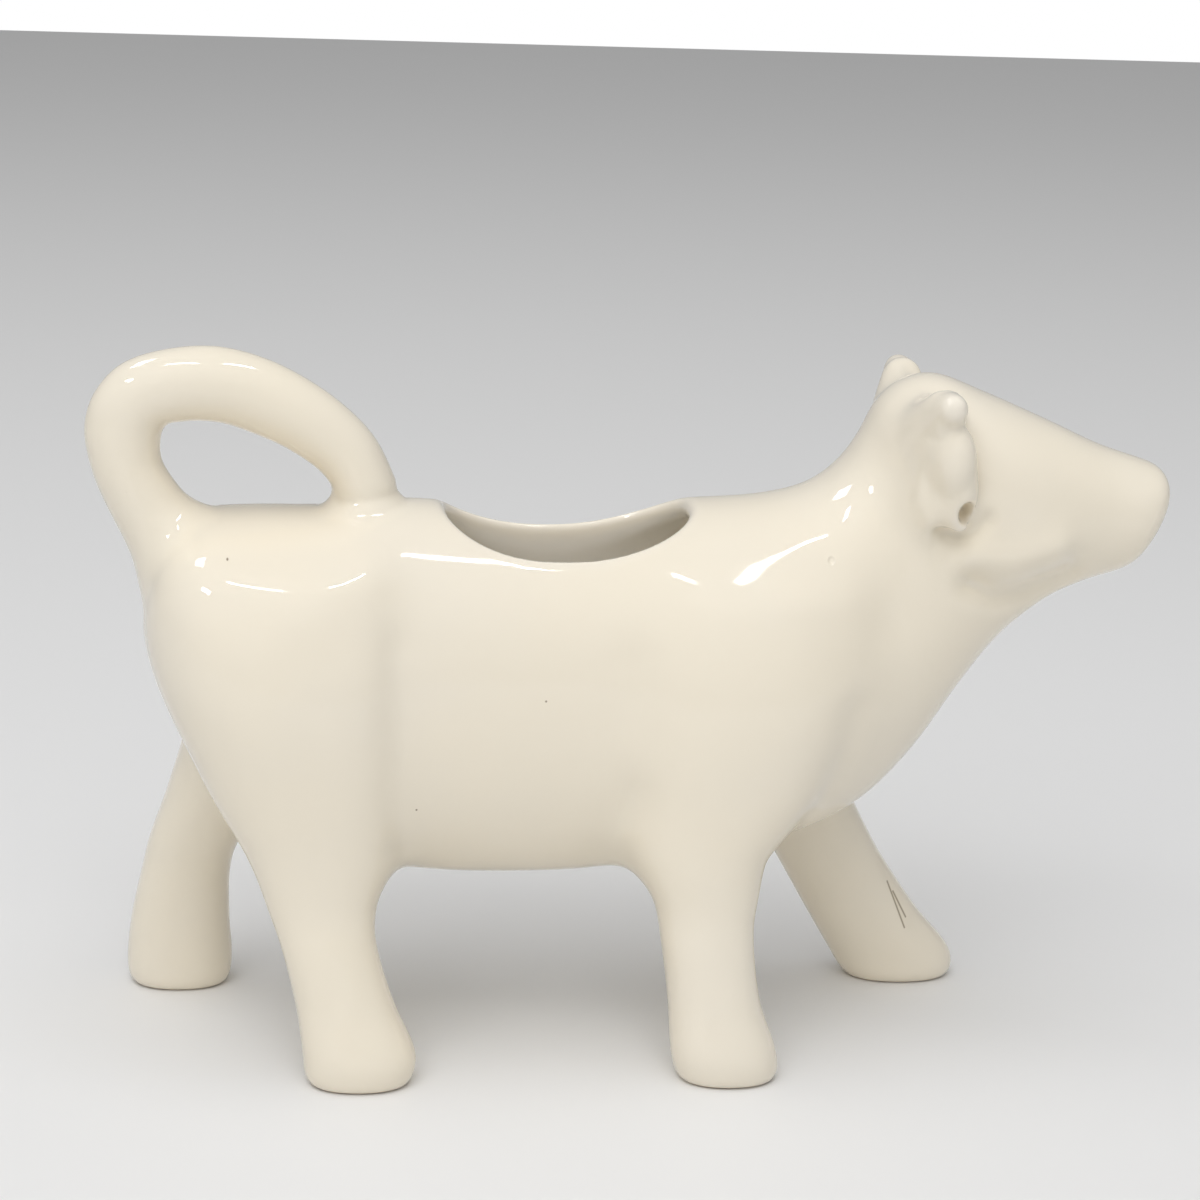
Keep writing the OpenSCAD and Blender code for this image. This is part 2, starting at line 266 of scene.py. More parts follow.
def smooth_rows(table: list[list[float]] | np.ndarray, steps: int) -> np.ndarray:
    """Carry a smooth curve through the rows of a table.

    Between rows q and r, with p before and s after, the point a share u of the way is the cubic
    q + u (r - p) / 2 + u^2 (2p - 5q + 4r - s) / 2 + u^3 (3q - p - 3r + s) / 2, worked out for every
    u of every stretch at once.

    Args:
        table: the rows, one station of a form to a row.
        steps: how many stretches each gap between two rows is divided into.

    Returns:
        The rows of the smooth curve, from the table's first row to its last.
    """
    rows = np.asarray(table, dtype=float)
    count = len(rows) - 1
    place = np.arange(count * steps + 1) / steps
    i = np.minimum(place.astype(int), count - 1)
    u = (place - i)[:, None]
    p, q = rows[np.maximum(i - 1, 0)], rows[i]
    r, s = rows[i + 1], rows[np.minimum(i + 2, count)]
    bend = (r - p) * u + (2 * p - 5 * q + 4 * r - s) * u**2 + (3 * q - p - 3 * r + s) * u**3
    return q + bend / 2


def corner(value: np.ndarray, exponent: float) -> np.ndarray:
    """Draw a cosine or sine out towards an oval's corners: its size to the power 2 / exponent."""
    return np.sign(value) * np.abs(value) ** (2 / exponent)


def oval_rings(rows: np.ndarray, exponent: float, sides: int) -> np.ndarray:
    """Carry an oval profile along a path in the mid plane.

    A row is x and z of the oval's top point a, x and z of its bottom point b, its half width w and
    its middle y0. At the angle t the surface is (a + b) / 2 + (a - b) / 2 sin t in the mid plane
    and y0 + w cos t across it, with the cosine and sine drawn out towards the corners.

    Args:
        rows: six numbers to a station.
        exponent: 2 makes an ellipse, more a squarer oval.
        sides: points round a ring.

    Returns:
        Points as an array of stations by sides by 3.
    """
    t = np.linspace(0, 2 * math.pi, sides, endpoint=False)
    across, up = corner(np.cos(t), exponent), corner(np.sin(t), exponent)
    top, bottom = rows[:, None, 0:2], rows[:, None, 2:4]
    mid = (top + bottom) / 2 + (top - bottom) / 2 * up[None, :, None]
    y = rows[:, None, 5] + rows[:, None, 4] * across[None, :]
    return np.stack([mid[..., 0], y, mid[..., 1]], axis=-1)


def side_rings(rows: np.ndarray, side: Side, sides: int) -> np.ndarray:
    """Carry an ellipse sideways out of the head.

    A row is the distance from the mid plane d, x, z, the half length l and the half height h. At
    the angle t the surface is (x + l sin t, side d, z + h cos t).

    Args:
        rows: five numbers to a station.
        side: which side of the cow.
        sides: points round a ring.

    Returns:
        Points as an array of stations by sides by 3.
    """
    t = side.value * np.linspace(0, 2 * math.pi, sides, endpoint=False)
    x = rows[:, None, 1] + rows[:, None, 3] * np.sin(t)[None, :]
    y = np.broadcast_to(side.value * rows[:, None, 0], x.shape)
    z = rows[:, None, 2] + rows[:, None, 4] * np.cos(t)[None, :]
    return np.stack([x, y, z], axis=-1)


def skinned(rings: np.ndarray) -> Skin:
    """Close a grid of rings into a skin, with a fan of triangles over each end.

    Args:
        rings: stations by sides by 3.

    Returns:
        The closed surface, its faces outwards.
    """
    stations, sides = rings.shape[:2]
    index = np.arange(stations * sides).reshape(stations, sides)
    turned = np.roll(index, -1, axis=1)
    quads = np.stack([index[:-1], turned[:-1], turned[1:], index[1:]], axis=-1).reshape(-1, 4)
    points = np.concatenate([rings.reshape(-1, 3), rings[[0, -1]].mean(axis=1)])
    first, last = np.full(sides, stations * sides), np.full(sides, stations * sides + 1)
    fans = [
        np.stack([first, turned[0], index[0]], axis=-1),
        np.stack([last, index[-1], turned[-1]], axis=-1),
    ]
    return Skin(points, quads, np.concatenate(fans))


@dataclass(frozen=True)
class Stroke:
    """A stroke of the modelling tool, as seen from the side: x and z of its path, in millimetres.

    Its depth is negative where it leaves a swelling. It works outwards of the distance inner from
    the mid plane, fades in over the distance fade there, and still marks the clay a trail of so
    many widths from its path.
    """

    path: tuple[Pair, ...]
    depth: float
    width: float
    sides: tuple[Side, ...] = (Side.RIGHT, Side.LEFT)
    inner: float = 4.0
    fade: float = 4.0
    trail: float = 2.6


@dataclass(frozen=True)
class Window:
    """A stretch of the block of clay: where it is cut from the grid, and its x, y and z."""

    cut: tuple[slice, slice, slice]
    x: np.ndarray
    y: np.ndarray
    z: np.ndarray


Form = tuple[Window, np.ndarray]


@dataclass(frozen=True)
class Clay:
    """A block of clay: a regular grid of signed distances, negative inside, in millimetres.

    Distances are true up to the width of the band. A mean takes in so many sigmas each way.
    """

    low: Triple = (-87.0, -33.0, -4.0)
    step: float = 0.4
    shape: tuple[int, int, int] = (435, 166, 288)
    band: float = 9.0
    sigmas: float = 2.5

    def window(self, low: np.ndarray | list[float], high: np.ndarray | list[float]) -> Window:
        """Find the stretch of the block between two corners.

        Args:
            low: its lowest corner, in millimetres.
            high: its highest corner.

        Returns:
            The grid points of that stretch.
        """
        origin = np.array(self.low)
        start = np.maximum(np.floor((low - origin) / self.step).astype(int), 0)
        stop = np.minimum(np.ceil((high - origin) / self.step).astype(int) + 1, self.shape)
        x, y, z = (lo + self.step * np.arange(a, b) for lo, a, b in zip(self.low, start, stop))
        cut = tuple(slice(a, b) for a, b in zip(start, stop))
        return Window(cut, x[:, None, None], y[None, :, None], z[None, None, :])

    def pressed(self, skin: Skin) -> Form:
        """Press a closed surface into the block.

        Args:
            skin: the surface, in millimetres.

        Returns:
            The window round it, and the signed distance to it there, cut off at the band's width.
        """
        low, high = skin.points.min(axis=0), skin.points.max(axis=0)
        window = self.window(low - self.band, high + self.band)
        width = self.band / self.step
        grid = openvdb.FloatGrid.createLevelSetFromPolygons(
            ((skin.points - np.array(self.low)) / self.step).astype(np.float32),
            triangles=skin.triangles.astype(np.uint32),
            quads=skin.quads.astype(np.uint32),
            transform=openvdb.createLinearTransform(1.0),
            exBandWidth=width,
            inBandWidth=width,
        )
        form = np.empty([c.stop - c.start for c in window.cut], dtype=np.float32)
        grid.copyToArray(form, ijk=tuple(int(c.start) for c in window.cut))
        return window, form * self.step

    def pellet(self, pellet: Pellet, side: Side) -> Form:
        """Roll an egg-shaped pellet.

        With k the length of the offset from the middle over the half sizes, and m that of the
        offset over their squares, the distance is k (k - 1) / m.

        Args:
            pellet: its middle on the left side, and its half sizes along x, y and z.
            side: the side that it is rolled for.

        Returns:
            The window round it, and the distance to it there.
        """
        (x, y, z), half = pellet
        middle, reach = np.array([x, side.value * y, z]), np.array(half) + self.band / 2
        window = self.window(middle - reach, middle + reach)
        offsets = [axis - c for axis, c in zip((window.x, window.y, window.z), middle)]
        k = np.sqrt(sum((o / h) ** 2 for o, h in zip(offsets, half)))
        m = np.sqrt(sum((o / h**2) ** 2 for o, h in zip(offsets, half)))
        return window, (k * (k - 1) / np.maximum(m, 1e-3)).astype(np.float32)

    def stroke(self, distances: np.ndarray, stroke: Stroke, side: Side) -> None:
        """Draw a modelling tool over one side of the clay, in place.

        The surface sinks by depth e^-(r / width)^2, where r is the distance to the path in side view.

        Args:
            distances: the form.
            stroke: the tool's path and size.
            side: the side that is modelled.
        """
        path, reach = np.array(stroke.path), stroke.trail * stroke.width
        low_y, high_y = sorted((side.value * stroke.inner, side.value * -self.low[1]))
        (low_x, low_z), (high_x, high_z) = path.min(axis=0) - reach, path.max(axis=0) + reach
        window = self.window([low_x, low_y, low_z], [high_x, high_y, high_z])
        nearest = np.full((window.x.size, 1, window.z.size), np.inf)
        for start, end in zip(path[:-1], path[1:]):
            run = end - start
            x, z = window.x - start[0], window.z - start[1]
            share = np.clip((x * run[0] + z * run[1]) / (run @ run), 0, 1)
            nearest = np.minimum(nearest, (x - share * run[0]) ** 2 + (z - share * run[1]) ** 2)
        fade = np.clip((side.value * window.y - stroke.inner) / stroke.fade, 0, 1)
        sunk = stroke.depth * np.exp(-nearest / stroke.width**2) * fade
        distances[window.cut] += sunk.astype(np.float32)

    def softened(self, distances: np.ndarray, radius: float) -> np.ndarray:
        """Soften a form as wet clay slumps: a Gaussian mean of the distances, one axis at a time.

        Args:
            distances: the form.
            radius: standard deviation of the mean, in millimetres.

        Returns:
            The softened form.
        """
        sigma = radius / self.step
        reach = math.ceil(self.sigmas * sigma)
        offsets = np.arange(-reach, reach + 1)
        weights = np.exp(-(offsets**2) / (2 * sigma**2))
        weights = (weights / weights.sum()).astype(np.float32)
        for axis in range(3):
            pad = [(reach, reach) if a == axis else (0, 0) for a in range(3)]
            padded = np.pad(distances, pad, mode="edge")
            total = np.zeros_like(distances)
            for k, weight in enumerate(weights):
                cut = [slice(None)] * 3
                cut[axis] = slice(k, k + distances.shape[axis])
                total += weight * padded[tuple(cut)]
            distances = total
        return distances


def melted(a: np.ndarray, b: np.ndarray, reach: float | np.ndarray) -> np.ndarray:
    """Join two forms with a fillet.

    The joined distance is min(a, b) - h^2 reach / 4, where h = max(0, 1 - |a - b| / reach).

    Args:
        a: one form.
        b: the other form.
        reach: how far apart the two distances may be and still melt together.

    Returns:
        The joined form.
    """
    h = np.maximum(0, 1 - np.abs(a - b) / reach)
    return (np.minimum(a, b) - h * h * reach / 4).astype(np.float32)


def carved(a: np.ndarray, tool: np.ndarray, reach: float) -> np.ndarray:
    """Take a tool's form out of another, with an edge rounded by reach."""
    return -melted(-a, tool, reach)


@dataclass(frozen=True)
class Block:
    """A finished form or a value all over it, and ways to read it between the clay's grid points.

    The probe, in steps of the grid, is how far each way the slope is felt for a normal.
    """

    distances: np.ndarray
    clay: Clay
    probe: float = 1.2

    def read(self, points: np.ndarray) -> np.ndarray:
        """Read the value at points between the grid's, as a weighted mean of the eight around each.

        Args:
            points: one point to a row, in millimetres.

        Returns:
            The value at each point.
        """
        last = np.array(self.distances.shape) - 1.001
        place = np.clip((points - self.clay.low) / self.clay.step, 0, last)
        i = place.astype(int)
        u = place - i
        value = np.zeros(len(points))
        for offset in np.ndindex(2, 2, 2):
            weight = np.prod(np.where(np.array(offset) == 1, u, 1 - u), axis=1)
            value += weight * self.distances[tuple((i + offset).T)]
        return value

    def normals(self, points: np.ndarray) -> np.ndarray:
        """Work out the normals, from the change of the distance along x, y and z about each point.

        Args:
            points: one point to a row, in millimetres.

        Returns:
            The unit outward normal at each point.
        """
        reach = self.probe * self.clay.step
        change = [self.read(points + reach * axis) - self.read(points - reach * axis) for axis in np.eye(3)]
        slope = np.stack(change, axis=-1) / (2 * reach)
        return slope / np.maximum(np.linalg.norm(slope, axis=1, keepdims=True), 1e-6)

    def skin(self, adaptivity: float) -> Skin:
        """Skin the block where the distance is zero.

        The grid's own skin is drawn onto the form's surface: each point moves along the normal by
        the distance that is left there, twice.

        Args:
            adaptivity: how freely the flatter stretches are given larger faces, from 0 to 1.

        Returns:
            The closed surface.
        """
        outside = float(np.abs(self.distances).max()) + self.clay.step
        padded = np.pad(self.distances, 1, constant_values=outside)
        grid = openvdb.FloatGrid(outside)
        grid.copyFromArray(np.ascontiguousarray(padded, dtype=np.float32))
        grid.gridClass = openvdb.GridClass.LEVEL_SET
        points, triangles, quads = grid.convertToPolygons(isovalue=0.0, adaptivity=adaptivity)
        points = self.clay.low + (points.astype(float) - 1) * self.clay.step
        for _ in range(2):
            points = points - self.read(points)[:, None] * self.normals(points)
        return Skin(points, quads[:, ::-1].astype(int), triangles[:, ::-1].astype(int))


@dataclass
class Casting:
    """The body casting: torso, neck and head, the milk space, filler opening and pouring hole."""

    sizes: Sizes
    clay: Clay
    sides: int = 96
    steps: int = 8
    softness: float = 0.9
    spout_round: float = 1.6
    spout_from_share: float = 0.85
    spout_to_share: float = 1.1

    def form(self) -> np.ndarray:
        """Cast the torso, neck and head.

        Returns:
            The solid form, over the whole block.
        """
        s = self.sizes
        shares = smooth_rows(CASTING_SHARES, self.steps)
        scale = np.array([s.casting_l, s.poll_h, s.casting_l, s.poll_h, s.haunch_w / 2])
        shift = np.array([s.rump_x, 0, s.rump_x, 0, 0])
        rows = np.pad(shares * scale + shift, ((0, 0), (0, 1)))
        window, form = self.clay.pressed(skinned(oval_rings(rows, s.oval_exponent, self.sides)))
        whole = np.full(self.clay.shape, self.clay.band, dtype=np.float32)
        whole[window.cut] = self.clay.softened(form, self.softness)
        return whole

    def hollowed(self, whole: np.ndarray, casting: np.ndarray) -> np.ndarray:
        """Hollow the creamer for milk and open its back and its muzzle.

        The milk space lies where the distance d to the casting is under -wall, so the shell is
        max(a, b), where a is the distance to the outside and b = -(d + wall). Where c, the distance
        to the filler opening's oval, is negative, the shell ends in a round lip: the distance to it
        is sqrt(((a - b) / 2)^2 + c^2) + (a + b) / 2.

        Args:
            whole: all the outer forms, melted together.
            casting: the torso, neck and head alone.

        Returns:
            The hollow form.
        """
        s = self.sizes
        shell = np.maximum(whole, -(casting + s.wall))
        half_l, half_w = (s.filler_l + s.wall) / 2, (s.filler_w + s.wall) / 2
        mid_x = s.rump_x + s.filler_x
        window = self.clay.window(
            [mid_x - half_l - s.wall, -half_w - s.wall, s.back_h / 2],
            [mid_x + half_l + s.wall, half_w + s.wall, s.back_h + self.clay.band],
        )
        along, over = np.abs(window.x - mid_x) / half_l, np.abs(window.y) / half_w
        e = s.filler_exponent
        share = np.maximum((along**e + over**e) ** (1 / e), 1e-3)
        steep = np.hypot((along / share) ** (e - 1) / half_l, (over / share) ** (e - 1) / half_w)
        oval = (share - 1) / np.maximum(steep, 0.5 / half_l)
        outer, inner = whole[window.cut], -(casting[window.cut] + s.wall)
        shell[window.cut] = np.hypot((outer - inner) / 2, np.minimum(oval, 0)) + (outer + inner) / 2
        spout_x = s.rump_x + self.spout_from_share * s.casting_l
        end_x = s.rump_x + self.spout_to_share * s.casting_l
        spout_z = s.spout_h_share * s.poll_h
        window = self.clay.window(
            [spout_x, -s.spout_d, spout_z - s.spout_d], [end_x, s.spout_d, spout_z + s.spout_d]
        )
        spout = np.hypot(window.y, window.z - spout_z) - s.spout_d / 2
        spout = np.maximum(spout, spout_x + s.wall - window.x)
        shell[window.cut] = carved(shell[window.cut], spout, self.spout_round)
        return shell


@dataclass
class Leg:
    """One leg, from its foot on the table to its root in the body."""

    name: str
    side: Side
    shares: list[list[float]]
    sizes: Sizes
    clay: Clay
    sides: int = 64
    steps: int = 8

    def form(self) -> Form:
        """Shape the leg as an oval carried from its foot to its root.

        Returns:
            The leg and its root.
        """
        s = self.sizes
        z, x, out, half_l, half_w = smooth_rows(np.transpose(self.shares), self.steps).T
        x, z, half_l = s.rump_x + x * s.casting_l, z * s.joint_h, half_l * s.hoof_l / 2
        half_w, mid_y = half_w * s.hoof_w / 2, self.side.value * out * s.stance_w / 2
        rows = np.stack([x - half_l, z, x + half_l, z, half_w, mid_y], axis=-1)
        return self.clay.pressed(skinned(oval_rings(rows, s.oval_exponent, self.sides)))

    def reach(self) -> Box:
        """Find what the knife keeps of the leg.

        Returns:
            Corners of the box that holds the leg below its luting joint.
        """
        s, shares = self.sizes, np.array(self.shares)
        _, x, _, half_l, _ = shares[:, shares[0] <= 1]
        x, half_l = s.rump_x + x * s.casting_l, half_l * s.hoof_l / 2
        inner, outer = sorted((0.0, self.side.value * (s.stance_w / 2 + s.hoof_w)))
        low = [(x - half_l).min() - s.wall, inner, -s.wall]
        return np.array(low), np.array([(x + half_l).max() + s.wall, outer, s.joint_h])


@dataclass
class TailLoop:
    """The tail, bent over the rump into the handle."""

    sizes: Sizes
    clay: Clay
    name: str = "tail_handle"
    sides: int = 64
    steps: int = 8
    reach_l_share: float = 1.1
    reach_h_share: float = 1.2

    def form(self) -> Form:
        """Shape the loop as an ellipse carried over the rump.

        Returns:
            The whole loop, roots and all.
        """
        s = self.sizes
        shares = smooth_rows(TAIL_SHARES, self.steps)
        scale = np.array([s.loop_l, s.loop_h, s.loop_l, s.loop_h, s.tail_w / 2])
        shift = np.array([s.tail_x, s.back_h, s.tail_x, s.back_h, 0])
        rows = np.pad(shares * scale + shift, ((0, 0), (0, 1)))
        return self.clay.pressed(skinned(oval_rings(rows, 2, self.sides)))

    def reach(self) -> Box:
        """Find what the knife keeps of the loop.

        Returns:
            Corners of the box that holds the loop above its luting joints.
        """
        s = self.sizes
        low = [s.tail_x - s.wall, -s.tail_w, s.back_h + TAIL_JOINT_SHARE * s.loop_h]
        high_x, high_z = s.tail_x + self.reach_l_share * s.loop_l, s.back_h + self.reach_h_share * s.loop_h
        return np.array(low), np.array([high_x, s.tail_w, high_z])


@dataclass
class HeadPiece:
    """An ear or a horn, from its root in the head outwards."""

    kind: HeadKind
    side: Side
    sizes: Sizes
    clay: Clay
    sides: int = 48
    steps: int = 8
    reach_middle_share: float = 0.752
    reach_half_share: float = 0.40
    lap: float = 0.01

    @property
    def name(self) -> str:
        """Name of the piece's node."""
        return f"{self.side.name.lower()}_{self.kind.value}"

    def rows(self) -> np.ndarray:
        """Work out the piece's stations.

        Returns:
            Distance from the mid plane, x, z, half length and half height of each, in millimetres.
        """
        s = self.sizes
        horn = HORN_SHARES, s.horn_seat, 0, s.poll_h, s.horns_w
        ear = EAR_SHARES, s.head_side_share, s.ear_z, s.ear_h, s.ear_h
        shares, seat_share, from_z, height, size = horn if self.kind is HeadKind.HORN else ear
        seat = seat_share * s.haunch_w / 2
        scale = [s.horns_w / 2 - seat, s.casting_l, height, size, size]
        return smooth_rows(shares, self.steps) * scale + [seat, s.rump_x, from_z, 0, 0]

    def form(self) -> Form:
        """Return the piece and its root."""
        return self.clay.pressed(skinned(side_rings(self.rows(), self.side, self.sides)))

    def fillet(self, window: Window) -> np.ndarray:
        """Work out how far the piece melts into the head: widely behind it, less in front.

        Args:
            window: the stretch of the block that holds the piece.

        Returns:
            The fillet's reach along x.
        """
        soft, crisp = HEAD_FILLETS[self.kind]
        seat = self.rows()[HEAD_JOINT_ROW * self.steps]
        share = np.clip((window.x - seat[1] + seat[3] / 2) / seat[3], 0, 1)
        return soft + (crisp - soft) * share

    def reach(self) -> Box:
        """Find what the knife keeps of the piece.

        Returns:
            Corners of the box that holds the piece outside its luting joint.
        """
        s, rows = self.sizes, self.rows()[HEAD_JOINT_ROW * self.steps :]
        spare = s.wall / 2
        middle, half = s.rump_x + self.reach_middle_share * s.casting_l, self.reach_half_share * s.ear_h
        inner, outer = sorted((self.side.value * rows[0, 0], self.side.value * (s.horns_w / 2 + spare)))
        if self.kind is HeadKind.HORN:
            low_z, high_z = s.between_ear_and_horn - self.lap, (rows[:, 2] + rows[:, 4]).max() + spare
        else:
            low_z, high_z = (rows[:, 2] - rows[:, 4]).min() - spare, s.between_ear_and_horn
        return np.array([middle - half, inner, low_z]), np.array([middle + half, outer, high_z])


class NodeBench:
    """A node tree under construction."""

    def __init__(self, tree: bpy.types.NodeTree) -> None:
        """Take up an empty tree, or a material's own."""
        self.tree = tree

    def add(
        self, kind: str, inputs: dict[str | int, object] | None = None, **settings: object
    ) -> bpy.types.Node:
        """Add a node.

        Args:
            kind: its type.
            inputs: a value for each socket, or the socket that it is linked to.
            settings: the node's properties.

        Returns:
            The node.
        """
        node = self.tree.nodes.new(kind)
        node.location = (180 * (len(self.tree.nodes) % 12), -260 * (len(self.tree.nodes) // 12))
        for key, value in settings.items():
            setattr(node, key, value)
        for key, value in (inputs or {}).items():
            if isinstance(value, Socket):
                self.tree.links.new(value, node.inputs[key])
            else:
                node.inputs[key].default_value = value
        return node

    def math(self, operation: str, a: Value, b: Value = 0.0, c: Value = 0.0) -> Socket:
        """Work out a sum, product or the like of up to three values."""
        return self.add("ShaderNodeMath", {0: a, 1: b, 2: c}, operation=operation).outputs[0]

    def rise(self, value: Value, low: float, high: float) -> Socket:
        """Map a value to 0 at low and 1 at high, smoothly between."""
        inputs = {"Value": value, "From Min": low, "From Max": high}
        return self.add("ShaderNodeMapRange", inputs, interpolation_type="SMOOTHSTEP").outputs["Result"]

    def tint(self, share: Value, under: object, over: object) -> Socket:
        """Lay one colour over another by a share."""
        return self.add("ShaderNodeMix", {0: share, 6: under, 7: over}, data_type="RGBA").outputs[2]

    def noise(self, place: Socket, scale: float, detail: float = 2.0) -> Socket:
        """Return smooth noise around 0.5."""
        inputs = {"Vector": place, "Scale": scale, "Detail": detail, "Roughness": 0.5}
        return self.add("ShaderNodeTexNoise", inputs).outputs[0]

    def dots(self, place: Socket, scale: float, rare: float, size: float) -> Socket:
        """Scatter small dots.

        Args:
            place: the position.
            scale: cells to a metre.
            rare: the share of cells that hold no dot.
            size: a dot's radius, as a share of a cell.

        Returns:
            1 inside a dot and 0 elsewhere.
        """
        cells = self.add("ShaderNodeTexVoronoi", {"Vector": place, "Scale": scale})
        kept = self.add("ShaderNodeSeparateColor", {0: cells.outputs["Color"]}).outputs[0]
        near = self.math("SUBTRACT", 1.0, self.rise(cells.outputs["Distance"], 0.6 * size, size))
        return self.math("MULTIPLY", near, self.math("GREATER_THAN", kept, rare))

    def vector(self, operation: str, inputs: dict[str | int, object]) -> bpy.types.Node:
        """Add a node that works with vectors."""
        return self.add("ShaderNodeVectorMath", inputs, operation=operation)

    def spot(self, place: Socket, middle: object, radius: float) -> Socket:
        """Mark a small spot: 1 at its middle and 0 beyond its radius."""
        away = self.vector("DISTANCE", {0: place, 1: middle}).outputs["Value"]
        return self.math("SUBTRACT", 1.0, self.rise(away, 0.3 * radius, radius))

    def line(self, place: Socket, start: Vector, end: Vector, width: float) -> Socket:
        """Draw a fine line.

        Args:
            place: the position.
            start: where the line starts.
            end: where it ends.
            width: how far from it the line fades out.

        Returns:
            1 on the line and 0 away from it.
        """
        run = end - start
        offset = self.vector("SUBTRACT", {0: place, 1: start}).outputs[0]
        along = self.vector("DOT_PRODUCT", {0: offset, 1: run / run.length_squared}).outputs["Value"]
        share = self.add("ShaderNodeClamp", {"Value": along}).outputs[0]
        return self.spot(offset, self.vector("SCALE", {0: run, "Scale": share}).outputs[0], width)


